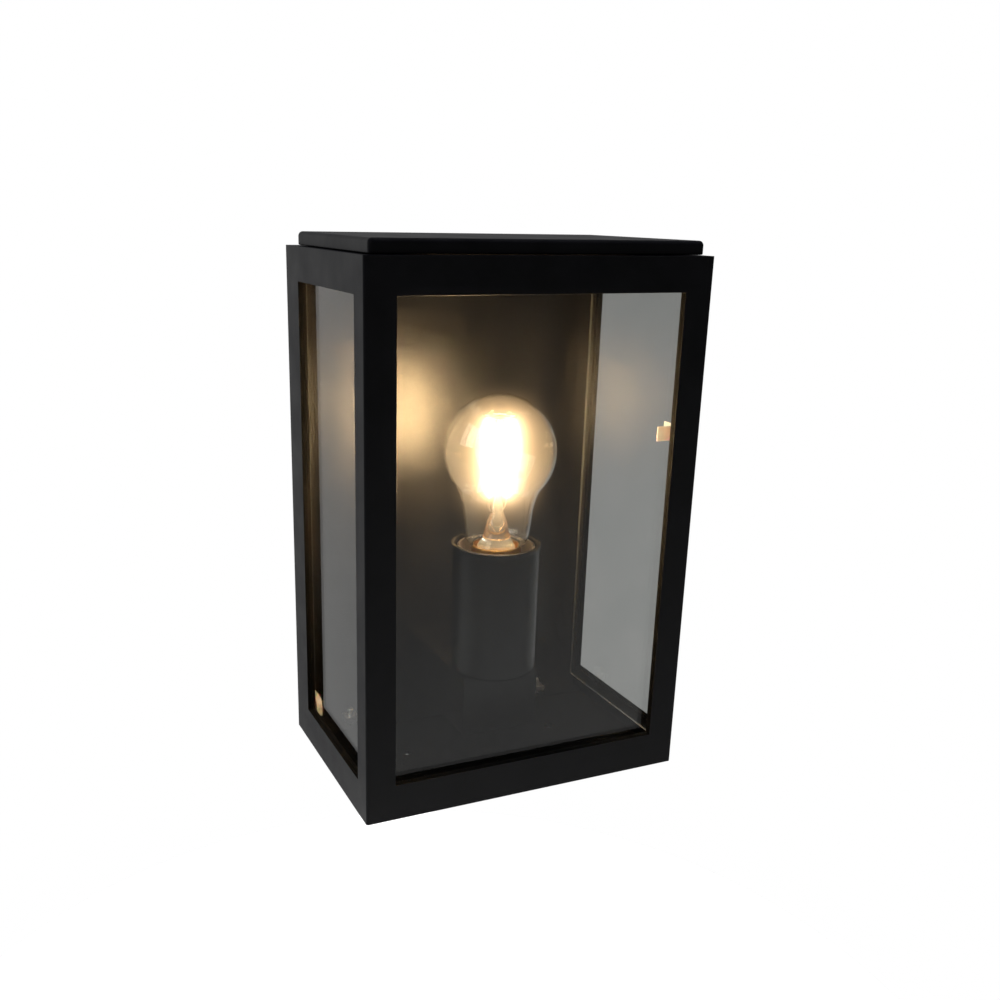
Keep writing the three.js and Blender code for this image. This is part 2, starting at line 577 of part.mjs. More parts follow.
// A bent strip round the right corner post; one leg bears on the front pane, one on the side pane.
const CLIP = { low: 182, height: 7.5, leg: 11, sheet: 0.8 };
function cornerClip() {
  const frontFace = paneFrontFace + PANE.thickness + GAP;
  const postFace = innerHalf - POST.size - GAP;
  const postRear = innerFront + POST.depth + GAP;
  const sideFace = sidePaneInner - GAP;
  const t = CLIP.sheet;
  return raised(outlineOf([
    [postFace - CLIP.leg, frontFace], [postFace, frontFace], [postFace, postRear],
    [sideFace, postRear], [sideFace, postRear + CLIP.leg], [sideFace - t, postRear + CLIP.leg],
    [sideFace - t, postRear + t], [postFace - t, postRear + t], [postFace - t, frontFace + t],
    [postFace - CLIP.leg, frontFace + t],
  ]), CLIP.low, CLIP.low + CLIP.height);
}
addPart('corner_clip', cornerClip(), FINISH.steel());

// ---------------------------------------------------------------- cover screws and nuts

const flangeTop = COVER.wall + GAP + PLATE.sheet;
for (const [word, side] of SIDES) {
  const x = side * COVER_SCREW.x;
  const { y, head, shank } = COVER_SCREW;
  const screw = solid(turned([[0, 0], [head, 0], [head, 0.5], [shank, 2.2], [shank, 11.5],
    [shank - 0.6, 12.2], [0, 12.2]], x, y, 20));
  addPart(`cover_screw_${word}`, cut(screw,
    box(x - 2.2, x + 2.2, y - 0.5, y + 0.5, -1, 1.3),
    box(x - 0.5, x + 0.5, y - 2.2, y + 2.2, -1, 1.3)), FINISH.steel());
  addPart(`cover_nut_${word}`, cut(
    solid(box(x - 4, x + 4, y - 4, y + 4, flangeTop + GAP, flangeTop + GAP + 3.2)),
    drum(x, y, flangeTop, flangeTop + 5, shank + GAP, 20)), FINISH.steel());
}

// ---------------------------------------------------------------- lid

// A tray upside down with a rolled edge, four bosses that rest on the grommets and four studs.
function lid() {
  const { low, high, edge, skin, rim } = LID;
  const outer = halfWidth - LID.side;
  const front = -COVER.depth + LID.front;
  const rear = -LID.rear;
  const outline = roundedRect(-outer + edge, outer - edge, front + edge, rear - edge, 0.6, 0.6);
  const below = edge * 0.3;
  const slab = new THREE.ExtrudeGeometry(outline, {
    depth: high - low - edge - below, bevelEnabled: true, bevelSize: edge, bevelThickness: edge,
    bevelSegments: 4, curveSegments: 2,
  }).translate(0, 0, low + below);
  const tray = cut(solid(slab),
    box(-200, 200, -200, 50, low - 20, low),
    box(-outer + rim, outer - rim, front + rim, rear - rim, low - 1, high - skin));
  return grommetPlaces().reduce((whole, [x, y]) => whole
    .add(solid(drum(x, y, grommetTop + GAP, high - skin + 1, 4.6)))
    .add(solid(drum(x, y, 264, high - skin + 0.5, GROMMET.bore - GAP, 16))), tray);
}

const grommetTop = COVER.height + GAP + 0.7;
addPart('lid', lid(), FINISH.powderCoat());

grommetPlaces().forEach(([x, y], i) => {
  const { neck, flange, bore } = GROMMET;
  addPart(`lid_grommet_${i + 1}`, turned([
    [bore, innerTop - GAP - 1.2], [flange - 1, innerTop - GAP - 1.2], [flange - 1, innerTop - GAP],
    [neck, innerTop - GAP], [neck, COVER.height + GAP], [flange, COVER.height + GAP],
    [flange, grommetTop], [bore, grommetTop],
  ], x, y, 14, true), FINISH.rubber());
});

export default lantern;
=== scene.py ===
# %% [markdown]
# An outdoor wall lantern: a black powder-coated box with three panes of glass, a slightly
# smaller lid, and a clear filament lamp standing in a round cup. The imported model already
# holds every part at its real size, so this script gives them their fine edges and finishes.

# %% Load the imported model
import math
import bmesh
import bpy
from mathutils import Matrix, Vector
from mathutils.geometry import interpolate_bezier


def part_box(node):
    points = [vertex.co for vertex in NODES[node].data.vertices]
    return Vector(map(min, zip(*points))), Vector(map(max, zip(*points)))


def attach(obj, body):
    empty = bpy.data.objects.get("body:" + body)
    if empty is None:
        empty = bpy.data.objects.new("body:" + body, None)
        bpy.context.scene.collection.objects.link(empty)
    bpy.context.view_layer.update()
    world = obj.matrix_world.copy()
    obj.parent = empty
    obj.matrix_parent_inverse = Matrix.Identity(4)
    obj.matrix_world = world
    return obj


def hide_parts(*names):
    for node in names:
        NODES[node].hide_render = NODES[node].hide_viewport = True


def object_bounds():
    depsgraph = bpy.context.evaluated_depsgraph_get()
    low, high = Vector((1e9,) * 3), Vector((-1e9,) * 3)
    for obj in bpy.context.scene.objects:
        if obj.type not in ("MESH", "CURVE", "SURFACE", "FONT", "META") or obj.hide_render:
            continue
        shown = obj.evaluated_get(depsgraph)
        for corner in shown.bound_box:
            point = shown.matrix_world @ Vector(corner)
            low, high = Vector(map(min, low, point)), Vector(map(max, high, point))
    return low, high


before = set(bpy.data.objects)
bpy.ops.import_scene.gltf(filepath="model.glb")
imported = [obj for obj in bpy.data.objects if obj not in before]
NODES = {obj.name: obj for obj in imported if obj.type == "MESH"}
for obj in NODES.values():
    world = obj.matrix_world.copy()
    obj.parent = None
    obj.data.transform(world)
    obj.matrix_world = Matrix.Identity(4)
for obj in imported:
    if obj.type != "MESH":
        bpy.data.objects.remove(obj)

CAD_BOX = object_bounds()
MM = 0.001

# %% [markdown]
# The camera stands to the left of the lantern, a little above its lid, and looks down a few
# degrees. Its place is counted from the wall mount, which is the origin of the model.

# %% Camera
camera_data = bpy.data.cameras.new("camera")
camera_data.sensor_width = 36
camera_data.lens = 38.98
camera_data.shift_x = 0.0434
camera_data.shift_y = 0.062
camera = bpy.data.objects.new("camera", camera_data)
camera.location = (-0.2463, -0.5670, 0.1553)
camera.rotation_euler = [math.radians(angle) for angle in (72.037, -1.157, -24.016)]
bpy.context.scene.collection.objects.link(camera)
bpy.context.scene.camera = camera
print("camera", tuple(round(v, 3) for v in camera.location))

# %% [markdown]
# Colours are written as sRGB hex values, the way a paint chart gives them. Shaders work in
# linear light, so one function turns a hex value into linear numbers.

# %% Colour helper
def linear(hex_colour, alpha=1.0):
    channels = [int(hex_colour[i:i + 2], 16) / 255 for i in (1, 3, 5)]
    light = [c / 12.92 if c <= 0.04045 else ((c + 0.055) / 1.055) ** 2.4 for c in channels]
    return (*light, alpha)

print("mid grey is", round(linear("#808080")[0], 3), "in linear light")

# %% [markdown]
# Every material is a small tree of nodes. One function adds a node, sets its properties and
# fills its inputs, either with a number or with a link from another node's output.

# %% Node helper
def add(tree, kind, inputs=None, **settings):
    node = tree.nodes.new(kind)
    for name, value in settings.items():
        setattr(node, name, value)
    for name, value in (inputs or {}).items():
        socket = node.inputs[name]
        if isinstance(value, bpy.types.NodeSocket):
            tree.links.new(value, socket)
        else:
            socket.default_value = value
    return node


def new_material(name):
    material = bpy.data.materials.new(name)
    material.use_nodes = True
    material.node_tree.nodes.clear()
    return material, material.node_tree


def grain(tree, size_mm, detail=2.0, stretch=(1, 1, 1)):
    """Noise whose blobs are about size_mm across, on the piece's own coordinates."""
    place = add(tree, "ShaderNodeTexCoord").outputs["Object"]
    turned_place = add(tree, "ShaderNodeMapping", {"Vector": place, "Scale": stretch})
    return add(tree, "ShaderNodeTexNoise", {
        "Vector": turned_place.outputs["Vector"], "Scale": 1 / (size_mm * MM), "Detail": detail,
        "Roughness": 0.55}).outputs["Fac"]


def between(tree, amount, low, high):
    """Stretch a 0 to 1 pattern so that it runs from low to high."""
    return add(tree, "ShaderNodeMapRange", {
        "Value": amount, "From Min": 0.3, "From Max": 0.7, "To Min": low, "To Max": high}).outputs["Result"]


def tones(tree, amount, *colours):
    """A colour ramp over a pattern's useful middle range."""
    ramp = add(tree, "ShaderNodeValToRGB", {"Fac": amount})
    band = ramp.color_ramp
    while len(band.elements) < len(colours):
        band.elements.new(0.5)
    for i, colour in enumerate(colours):
        band.elements[i].position = 0.3 + 0.4 * i / (len(colours) - 1)
        band.elements[i].color = linear(colour)
    return ramp.outputs["Color"]


def bumps(tree, height, depth_mm, strength=1.0, normal=None):
    inputs = {"Height": height, "Distance": depth_mm * MM, "Strength": strength}
    if normal is not None:
        inputs["Normal"] = normal
    return add(tree, "ShaderNodeBump", inputs).outputs["Normal"]


def finish_with(tree, shader):
    add(tree, "ShaderNodeOutputMaterial", {"Surface": shader.outputs[0]})

print("node helpers ready")

# %% [markdown]
# The body is polyester powder coat over metal. The powder melts in an oven and flows, but not
# quite flat: it keeps an orange peel a millimetre or two across and a finer grit on top. The
# eye sees a satin black that turns grey where light grazes it and sparkles near the lamp.
#
# There are three of it. The outside is satin. The inner sheet is glossier, and its peel is
# drawn deeper than real, so that it shows at this size. The narrow recesses of the cover get a
# darker coat almost without gloss, which is painted shade: a normal coat glows gold there
# beside the lamp, and the real recesses stay dark.

# %% Black powder coat
GRIT_MM = 0.45
CLOUD_MM = 22


def powder_coat(name, colours, peel_mm, peel_depth_mm, roughness, specular):
    material, tree = new_material(name)
    peel = grain(tree, peel_mm, detail=1.5)
    grit = grain(tree, GRIT_MM, detail=1.0)
    cloud = grain(tree, CLOUD_MM, detail=3.0)
    rolling = bumps(tree, peel, peel_depth_mm, 0.7)
    shader = add(tree, "ShaderNodeBsdfPrincipled", {
        "Base Color": tones(tree, cloud, *colours),
        "Roughness": between(tree, cloud, *roughness),
        "Specular IOR Level": specular,
        "Normal": bumps(tree, grit, 0.014, 0.6, rolling)})
    finish_with(tree, shader)
    return material


COAT = powder_coat("black_powder_coat_on_aluminium", ("#08080a", "#0b0b0e", "#0e0e11"),
                   1.5, 0.03, (0.36, 0.46), 0.26)
INNER_COAT = powder_coat("black_powder_coat_on_steel_sheet", ("#060606", "#090909"),
                         1.2, 0.36, (0.2, 0.26), 0.54)
# Painted shade: a darker, nearly glossless coat that keeps the cover's recesses dark beside the lamp.
PAINTED_SHADE_COAT = powder_coat("dull_coat_with_painted_shade_in_recesses", ("#040404", "#060606"),
                          1.5, 0.03, (0.8, 0.95), 0.02)
print(COAT.name, INNER_COAT.name, PAINTED_SHADE_COAT.name)

# %% [markdown]
# The panes are clear float glass with ground edges. The edges sit in the shade of the seals,
# and that shade is painted into their colour, which is nearly black. Lamp light has to pass the
# glass without casting a hard shadow, so rays that look for a lamp meet a clear tint and all
# others meet real glass.

# %% Float glass and its ground edge
def lets_light_by(tree, glass, tint, rays=("Is Shadow Ray",)):
    """Real glass to the eye, and a clear tint to the named kinds of ray, so that lamps reach by."""
    path = add(tree, "ShaderNodeLightPath")
    clear = add(tree, "ShaderNodeBsdfTransparent", {"Color": linear(tint)})
    for ray in rays:
        glass = add(tree, "ShaderNodeMixShader", {
            0: path.outputs[ray], 1: glass.outputs[0], 2: clear.outputs[0]})
    return glass


def float_glass():
    material, tree = new_material("clear_float_glass")
    film = grain(tree, 30, detail=3.0)
    glass = add(tree, "ShaderNodeBsdfPrincipled", {
        "Base Color": tones(tree, film, "#eff1ef", "#f4f5f3"),
        "Transmission Weight": 1.0, "IOR": 1.5,
        "Roughness": between(tree, film, 0.0, 0.02)})
    finish_with(tree, lets_light_by(tree, glass, "#eceeec"))
    return material


def ground_edge_in_painted_shade():
    material, tree = new_material("ground_glass_edge_with_painted_shade")
    scratches = grain(tree, 0.6, detail=3.0, stretch=(1, 1, 0.15))
    # The near-black tones are painted shade, the seals' shade drawn into the edge's colour; the grain in
    # them is the grinding's.
    shader = add(tree, "ShaderNodeBsdfPrincipled", {
        "Base Color": tones(tree, scratches, "#0b0f0d", "#161c19"),
        "Roughness": between(tree, scratches, 0.3, 0.5),
        "Transmission Weight": 0.2,
        "Normal": bumps(tree, scratches, 0.03)})
    finish_with(tree, shader)
    return material


PANE_GLASS = float_glass()
PANE_EDGE_IN_PAINTED_SHADE = ground_edge_in_painted_shade()
print(PANE_GLASS.name, PANE_EDGE_IN_PAINTED_SHADE.name)

# %% [markdown]
# The lamp's bulb is thin clear soda glass, blown in a mould: almost no colour, with faint
# waves that show only in its reflections. Its stem is the same glass, thicker and drawn.
#
# Both keep a small share of plain white scatter, a quarter of a percent and five percent. Real
# lamp glass has less: the share stands for the glow round a lit filament.
# Reflected and scattered rays pass the glass untouched, so it is missing from reflections,
# but a strong lamp behind it doesn't leave blotches on the sheet.

# %% Blown lamp glass
def blown_glass(name, tint, wave_mm, wave_depth_mm, clearness):
    material, tree = new_material(name)
    waves = grain(tree, wave_mm, detail=1.0, stretch=(1, 1, 0.5))
    glass = add(tree, "ShaderNodeBsdfPrincipled", {
        "Base Color": tones(tree, waves, tint, "#ffffff"),
        "Transmission Weight": clearness, "IOR": 1.47,
        "Roughness": between(tree, waves, 0.0, 0.015),
        "Normal": bumps(tree, waves, wave_depth_mm, 0.3)})
    finish_with(tree, lets_light_by(tree, glass, "#f8f8f6",
                                    ("Is Shadow Ray", "Is Reflection Ray", "Is Diffuse Ray")))
    return material


LAMP_GLASS = blown_glass("blown_soda_glass", "#fbfbf8", 14, 0.05, 0.9975)
STEM_GLASS = blown_glass("drawn_stem_glass", "#f3f5f0", 4, 0.05, 0.95)
print(LAMP_GLASS.name, STEM_GLASS.name)

# %% [markdown]
# A filament stick is a row of tiny chips under a ribbon of yellow phosphor. Lit, it is far
# brighter than anything round it, so it shows as white with a warm rim. Its strength was set
# from the size of the hot spot that it makes on the sheet behind it.

# %% Glowing phosphor
CHIP_SPACING_MM = 3.2
LAMP_STRENGTH = 1450.0


def phosphor():
    material, tree = new_material("lit_yellow_phosphor")
    chips = add(tree, "ShaderNodeTexWave", {
        "Vector": add(tree, "ShaderNodeTexCoord").outputs["Object"],
        "Scale": 1 / (CHIP_SPACING_MM * MM) / 2, "Distortion": 0.0}, bands_direction="Z").outputs["Fac"]
    shader = add(tree, "ShaderNodeBsdfPrincipled", {
        "Base Color": linear("#f0b030"), "Roughness": 0.6,
        "Emission Color": tones(tree, chips, "#ffd096", "#ffd8a4"),
        "Emission Strength": LAMP_STRENGTH})
    finish_with(tree, shader)
    return material


PHOSPHOR = phosphor()
print(PHOSPHOR.name)

# %% [markdown]
# Bare metals: nuts and screws are steel with a bright zinc plating, the thread shell is
# nickel plated, and contacts and the lamp's cap are brass.
# Plating is cloudy at the scale of millimetres, and pressed or turned brass has fine lines.

# %% Plated and bare metals
def bare_metal(name, light, dark, roughness, cloud_mm, stretch=(1, 1, 1)):
    material, tree = new_material(name)
    cloud = grain(tree, cloud_mm, detail=3.0)
    lines = grain(tree, 0.5, detail=2.0, stretch=stretch)
    shader = add(tree, "ShaderNodeBsdfPrincipled", {
        "Base Color": tones(tree, cloud, dark, light),
        "Metallic": 1.0,
        "Roughness": between(tree, lines, *roughness),
        "Normal": bumps(tree, lines, 0.01, 0.5)})
    finish_with(tree, shader)
    return material


ZINC = bare_metal("zinc_plated_steel", "#d5d6d8", "#b4b7bd", (0.22, 0.38), 3)
NICKEL = bare_metal("nickel_plated_brass_shell", "#d8d2c6", "#bdb5a6", (0.15, 0.3), 4, (1, 1, 4))
BRASS = bare_metal("pressed_brass", "#e3c079", "#c79f54", (0.2, 0.36), 4, (1, 1, 4))
SOLDER = bare_metal("dull_solder", "#b9b9ba", "#9a9a9c", (0.4, 0.6), 1.5)
NICKEL_WIRE = bare_metal("drawn_nickel_wire", "#c6c0b6", "#a39c90", (0.25, 0.4), 2)
print(ZINC.name, NICKEL.name, BRASS.name, SOLDER.name, NICKEL_WIRE.name)

# %% [markdown]
# Mouldings: the pane stop, the pane clip and the terminals are natural nylon, milky and slightly
# translucent; the lampholder's insert is black phenolic; seals and grommets are matt EPDM
# rubber; the wires wear glossy PVC. Each has the faint texture of its mould or die.

# %% Plastics and rubber
def moulded(name, light, dark, roughness, texture_mm, depth_mm, subsurface=0.0, specular=0.5):
    material, tree = new_material(name)
    texture = grain(tree, texture_mm, detail=2.0)
    cloud = grain(tree, 9, detail=2.0)
    shader = add(tree, "ShaderNodeBsdfPrincipled", {
        "Base Color": tones(tree, cloud, dark, light),
        "Roughness": between(tree, texture, *roughness),
        "Specular IOR Level": specular,
        "Subsurface Weight": subsurface,
        "Subsurface Scale": 2 * MM,
        "Normal": bumps(tree, texture, depth_mm, 0.6)})
    finish_with(tree, shader)
    return material


NYLON = moulded("natural_nylon", "#e9e6dc", "#dcd8cb", (0.35, 0.5), 0.8, 0.02, 0.3)
PHENOLIC = moulded("black_phenolic", "#1f1c1a", "#161412", (0.3, 0.45), 0.9, 0.015)
RUBBER = moulded("epdm_rubber", "#070707", "#040404", (0.75, 0.9), 0.5, 0.03, specular=0.04)
VITRITE = moulded("black_vitrite_insulator", "#15151c", "#0d0d12", (0.08, 0.18), 2.0, 0.01)
PVC_BROWN = moulded("brown_pvc_sleeve", "#5f3522", "#4d2918", (0.3, 0.42), 1.0, 0.01)
PVC_BLUE = moulded("blue_pvc_sleeve", "#2a5ea8", "#1f4a8c", (0.3, 0.42), 1.0, 0.01)
print("mouldings:", NYLON.name, PHENOLIC.name, RUBBER.name, VITRITE.name, PVC_BROWN.name, PVC_BLUE.name)

# %% [markdown]
# An earth wire's sleeve is green with a yellow stripe that winds slowly round it. The stripe
# is a band pattern across the wire's run.

# %% Green and yellow sleeve
STRIPE_MM = 4


def striped_sleeve():
    material, tree = new_material("green_and_yellow_pvc_sleeve")
    place = add(tree, "ShaderNodeTexCoord").outputs["Object"]
    stripe = add(tree, "ShaderNodeTexWave", {"Vector": place, "Scale": 1 / (STRIPE_MM * MM) / 2,
                                             "Distortion": 1.0}, bands_direction="DIAGONAL")
    shader = add(tree, "ShaderNodeBsdfPrincipled", {
        "Base Color": tones(tree, stripe.outputs["Fac"], "#3d8a3a", "#3d8a3a", "#d8cc35"),
        "Roughness": between(tree, grain(tree, 1.0), 0.3, 0.42)})
    finish_with(tree, shader)
    return material


PVC_EARTH = striped_sleeve()
print(PVC_EARTH.name)

# %% [markdown]
# The lantern hangs in a plain pale studio. Its floor is a small round disc well below it, so
# that no hard shadow falls near it and no horizon shows behind it.

# %% Floor
def pale_floor():
    material, tree = new_material("pale_painted_floor")
    shade = grain(tree, 180, detail=2.0)
    shader = add(tree, "ShaderNodeBsdfPrincipled", {
        "Base Color": tones(tree, shade, "#f4f4f4", "#f7f7f7"), "Roughness": 0.7,
        "Specular IOR Level": 0.2})
    finish_with(tree, shader)
    return material


def round_floor(radius, height):
    shape = bmesh.new()
    bmesh.ops.create_circle(shape, cap_ends=True, segments=96, radius=radius)
    bmesh.ops.translate(shape, verts=shape.verts, vec=(0, 0, height))
    mesh = bpy.data.meshes.new("floor")
    shape.to_mesh(mesh)
    shape.free()
    floor = bpy.data.objects.new("floor", mesh)
    floor.data.materials.append(pale_floor())
    bpy.context.scene.collection.objects.link(floor)
    return floor


FLOOR_DROP = 0.32
floor = round_floor(0.4, CAD_BOX[0][2] - FLOOR_DROP)
print("floor at", round(CAD_BOX[0][2] - FLOOR_DROP, 3))

# %% [markdown]
# A glossy black box shows little but its surroundings, so the room matters more than the
# lamps. The eye sees it as plain white. Reflections, and what is seen through the glass, meet
# a dimmer room: nearly dark in front, which keeps the front of the box deep black, mid grey
# behind, which fills the windows, and brightest at the back left, which turns the left side
# grey. It is a set of levels chosen for the look, not one physical room. Two large soft boxes
# add a little even light from the left and from above.

# %% Room light
def room(in_front, in_front_low, behind, behind_left, behind_low, overhead):
    """Light from the room by direction; the eye itself sees it as plain white."""
    world = bpy.data.worlds.new("studio_room")
    bpy.context.scene.world = world
    world.use_nodes = True
    tree = world.node_tree
    tree.nodes.clear()
    way = add(tree, "ShaderNodeTexCoord").outputs["Generated"]
    axes = add(tree, "ShaderNodeSeparateXYZ", {"Vector": way}).outputs

    def ramp(value, start, end, low, high):
        return add(tree, "ShaderNodeMapRange", {
            "Value": value, "From Min": start, "From Max": end, "To Min": low, "To Max": high},
            interpolation_type="SMOOTHSTEP").outputs["Result"]

    near = ramp(axes["Z"], -0.04, -0.5, in_front, in_front_low)
    side = ramp(axes["X"], 0.1, -0.25, behind, behind_left)
    far = ramp(axes["Z"], 0.02, -0.3, side, behind_low)
    far = ramp(axes["Z"], 0.15, 0.6, far, overhead)
    level = add(tree, "ShaderNodeMix", {0: ramp(axes["Y"], 0.0, 0.7, 0, 1), 2: near, 3: far})
    seen = add(tree, "ShaderNodeLightPath").outputs["Is Camera Ray"]
    strength = add(tree, "ShaderNodeMix", {0: seen, 2: level.outputs[0], 3: 1.0})
    light = add(tree, "ShaderNodeBackground", {"Color": linear("#ffffff"), "Strength": strength.outputs[0]})
    add(tree, "ShaderNodeOutputWorld", {"Surface": light.outputs[0]})


def soft_box(name, place, aim, size, power):
    data = bpy.data.lights.new(name, "AREA")
    data.shape = "RECTANGLE"
    data.size, data.size_y = size
    data.energy = power
    box = bpy.data.objects.new(name, data)
    box.location = place
    box.visible_glossy = False
    box.rotation_euler = (Vector(aim) - Vector(place)).to_track_quat("-Z", "Y").to_euler()
    bpy.context.scene.collection.objects.link(box)


room(in_front=0.025, in_front_low=0.35, behind=0.3, behind_left=0.42, behind_low=0.36, overhead=0.08)
soft_box("soft_box_left", (-2.2, -0.4, 1.4), (0, -0.05, 0), (1.6, 2.0), 45)
soft_box("soft_box_top", (0.3, 0.5, 2.6), (0, 0.3, 0), (2.6, 2.6), 170)
bpy.context.scene.view_settings.view_transform = "Standard"
print("studio lit")

# %% [markdown]
# A lens spreads a little of a very bright light over its neighbours. The filament is hundreds
# of times brighter than the rest, so a compositor bloom with a high threshold stands for it.
# It belongs to the picture only: an exported model doesn't carry it.

# %% Lens bloom
def lens_bloom(threshold, most, strength, size):
    scene = bpy.context.scene
    scene.use_nodes = True
    tree = scene.node_tree
    tree.nodes.clear()
    picture = add(tree, "CompositorNodeRLayers")
    glow = add(tree, "CompositorNodeGlare", {
        "Image": picture.outputs["Image"], "Threshold": threshold, "Clamp": True,
        "Maximum": most, "Strength": strength, "Size": size}, glare_type="BLOOM", quality="HIGH")
    add(tree, "CompositorNodeComposite", {"Image": glow.outputs["Image"]})


lens_bloom(threshold=4.0, most=400.0, strength=8.0, size=0.045)
print("lens bloom set")

# %% [markdown]
# CAD edges are razor sharp, but cast, folded and coated edges never are: a radius of half a
# millimetre is what catches the light. So each visible CAD part is copied, its loose
# triangles are merged and its flat faces made whole, and its sharp edges are bevelled.

# %% Copy, merge and soften
def piece_from(shape, name, body, materials, replaced=(), smooth_angle=35, weighted=True):
    """Turn a bmesh into a finished object that rides on a body and stands for CAD nodes."""
    mesh = bpy.data.meshes.new(name)
    shape.to_mesh(mesh)
    shape.free()
    for material in materials:
        mesh.materials.append(material)
    mesh.shade_smooth()
    mesh.set_sharp_from_angle(angle=math.radians(smooth_angle))
    piece = bpy.data.objects.new(name, mesh)
    bpy.context.scene.collection.objects.link(piece)
    if weighted:
        flat = piece.modifiers.new("even_shading", "WEIGHTED_NORMAL")
        flat.keep_sharp = True
    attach(piece, body)
    if replaced:
        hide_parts(*replaced)
    return piece


def merged_copy(node):
    shape = bmesh.new()
    shape.from_mesh(NODES[node].data)
    bmesh.ops.remove_doubles(shape, verts=shape.verts, dist=0.002 * MM)
    bmesh.ops.dissolve_limit(shape, angle_limit=math.radians(0.5), verts=shape.verts,
                             edges=shape.edges, use_dissolve_boundaries=False)
    return shape


def sharp_edges(shape, least_degrees=40):
    limit = math.radians(least_degrees)
    return [e for e in shape.edges if len(e.link_faces) == 2 and e.calc_face_angle(0) > limit]


def round_edges(shape, edges, radius_mm, segments):
    bmesh.ops.bevel(shape, geom=edges, offset=radius_mm * MM, offset_type="OFFSET", affect="EDGES",
                    segments=segments, profile=0.5, material=-1, clamp_overlap=True)


def softened(node, radius_mm, segments, body, material):
    shape = merged_copy(node)
    round_edges(shape, sharp_edges(shape), radius_mm, segments)
    piece = piece_from(shape, node + "_fine", body, [material], [node])
    print(piece.name, len(piece.data.polygons), "faces")
    return piece

# %% [markdown]
# The cover is the part everyone sees. Its outer edges are rounded by about 0.6 mm, which at
# arm's length is one thin bright line along each corner. Every face that doesn't lie on the
# outside gets the darker, duller coat with painted shade, which keeps the rebates dark beside the lamp.

# %% Cover frame
OUTSIDE_DEPTH_MM = 0.7
cover = softened("cover_frame", 0.55, 3, "cover", COAT)
# Slot 1 is the coat with painted shade, for every face more than 0.7 mm from the outside.
cover.data.materials.append(PAINTED_SHADE_COAT)
cover_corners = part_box("cover_frame")
for face in cover.data.polygons:
    to_outside = min(abs(face.center[axis] - corner[axis])
                     for axis in range(3) for corner in cover_corners)
    face.material_index = 0 if to_outside < OUTSIDE_DEPTH_MM * MM else 1

# %% [markdown]
# The back plate and the bracket in front of it are folded from steel sheet. Their edges are
# sharper than the cover's, and their coat is glossier: it mirrors the lamp as a wide hot spot.

# %% Back plate and holder bracket
softened("back_plate", 0.3, 2, "base", INNER_COAT)
softened("holder_bracket", 0.3, 2, "base", INNER_COAT)

# %% [markdown]
# The lid is a shallow tray turned upside down, with rolled edges: a wide radius above and a
# tighter one below. It starts as a block, gets its upright corners, then its rims, and then
# the underside is hollowed. Four bosses and four studs stand inside it.

# %% Lid
LID_HEIGHT = 6.6 * MM
LID_WALL = 2.6 * MM
LID_HOLLOW = 3.6 * MM


def level_edges(shape, height):
    return [e for e in shape.edges if all(abs(v.co.z - height) < 0.01 * MM for v in e.verts)]


def lid_shape():
    low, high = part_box("lid")
    rim_low = high.z - LID_HEIGHT
    shape = bmesh.new()
    bmesh.ops.create_cube(shape, size=1)
    size = (high.x - low.x, high.y - low.y, high.z - rim_low)
    bmesh.ops.scale(shape, verts=shape.verts, vec=size)
    middle = ((low.x + high.x) / 2, (low.y + high.y) / 2, (rim_low + high.z) / 2)
    bmesh.ops.translate(shape, verts=shape.verts, vec=middle)
    upright = [e for e in shape.edges if abs(e.verts[0].co.z - e.verts[1].co.z) > 1 * MM]
    round_edges(shape, upright, 2.4, 7)
    round_edges(shape, level_edges(shape, high.z), 2.3, 8)
    round_edges(shape, level_edges(shape, rim_low), 0.5, 3)
    under = min(shape.faces, key=lambda f: f.calc_center_median().z)
    bmesh.ops.inset_region(shape, faces=[under], thickness=LID_WALL, depth=0)
    hollow = bmesh.ops.extrude_discrete_faces(shape, faces=[under])["faces"]
    bmesh.ops.translate(shape, verts=hollow[0].verts, vec=(0, 0, LID_HOLLOW))
    return shape, rim_low + LID_HOLLOW


def upright_drum(shape, x, y, low, high, radius, sides=32):
    middle = Matrix.Translation((x, y, (low + high) / 2))
    bmesh.ops.create_cone(shape, cap_ends=True, segments=sides, radius1=radius, radius2=radius,
                          depth=high - low, matrix=middle)


lid_body, lid_ceiling = lid_shape()
for number in range(1, 5):
    near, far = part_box(f"lid_grommet_{number}")
    stud = ((near.x + far.x) / 2, (near.y + far.y) / 2)
    upright_drum(lid_body, *stud, far.z + 0.3 * MM, lid_ceiling + 1 * MM, 4.6 * MM)
    upright_drum(lid_body, *stud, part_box("lid")[0].z, lid_ceiling + 0.5 * MM, 1.9 * MM)
lid = piece_from(lid_body, "lid_fine", "lid", [COAT], ["lid"])
print(lid.name, "ceiling at", round(lid_ceiling, 4))

# %% [markdown]
# The panes are plain sheets, but their edges are ground: a small chamfer and a frosted band.
# The faces that look along the sheet's thickness are polished, all the others are ground and
# wear the nearly black edge material, whose darkness is painted shade from the seals.

# %% Panes
GROUND_CHAMFER_MM = 0.35


def pane(node):
    low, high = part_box(node)
    size = high - low
    thin = min(range(3), key=lambda axis: size[axis])
    shape = bmesh.new()
    bmesh.ops.create_cube(shape, size=1)
    bmesh.ops.scale(shape, verts=shape.verts, vec=size)
    bmesh.ops.translate(shape, verts=shape.verts, vec=(low + high) / 2)
    round_edges(shape, shape.edges[:], GROUND_CHAMFER_MM, 1)
    for face in shape.faces:
        face.normal_update()
        face.material_index = 0 if abs(face.normal[thin]) > 0.99 else 1
    return piece_from(shape, node + "_fine", "cover", [PANE_GLASS, PANE_EDGE_IN_PAINTED_SHADE], [node],
                      smooth_angle=20, weighted=False)


for side in ("front", "left", "right"):
    print(pane("pane_" + side).name)

# %% [markdown]
# Round parts are turned: a profile of a few corners, some of them rounded, is spun about the
# lamp's axis. Corners are given as radius and height, with the size of their rounding.

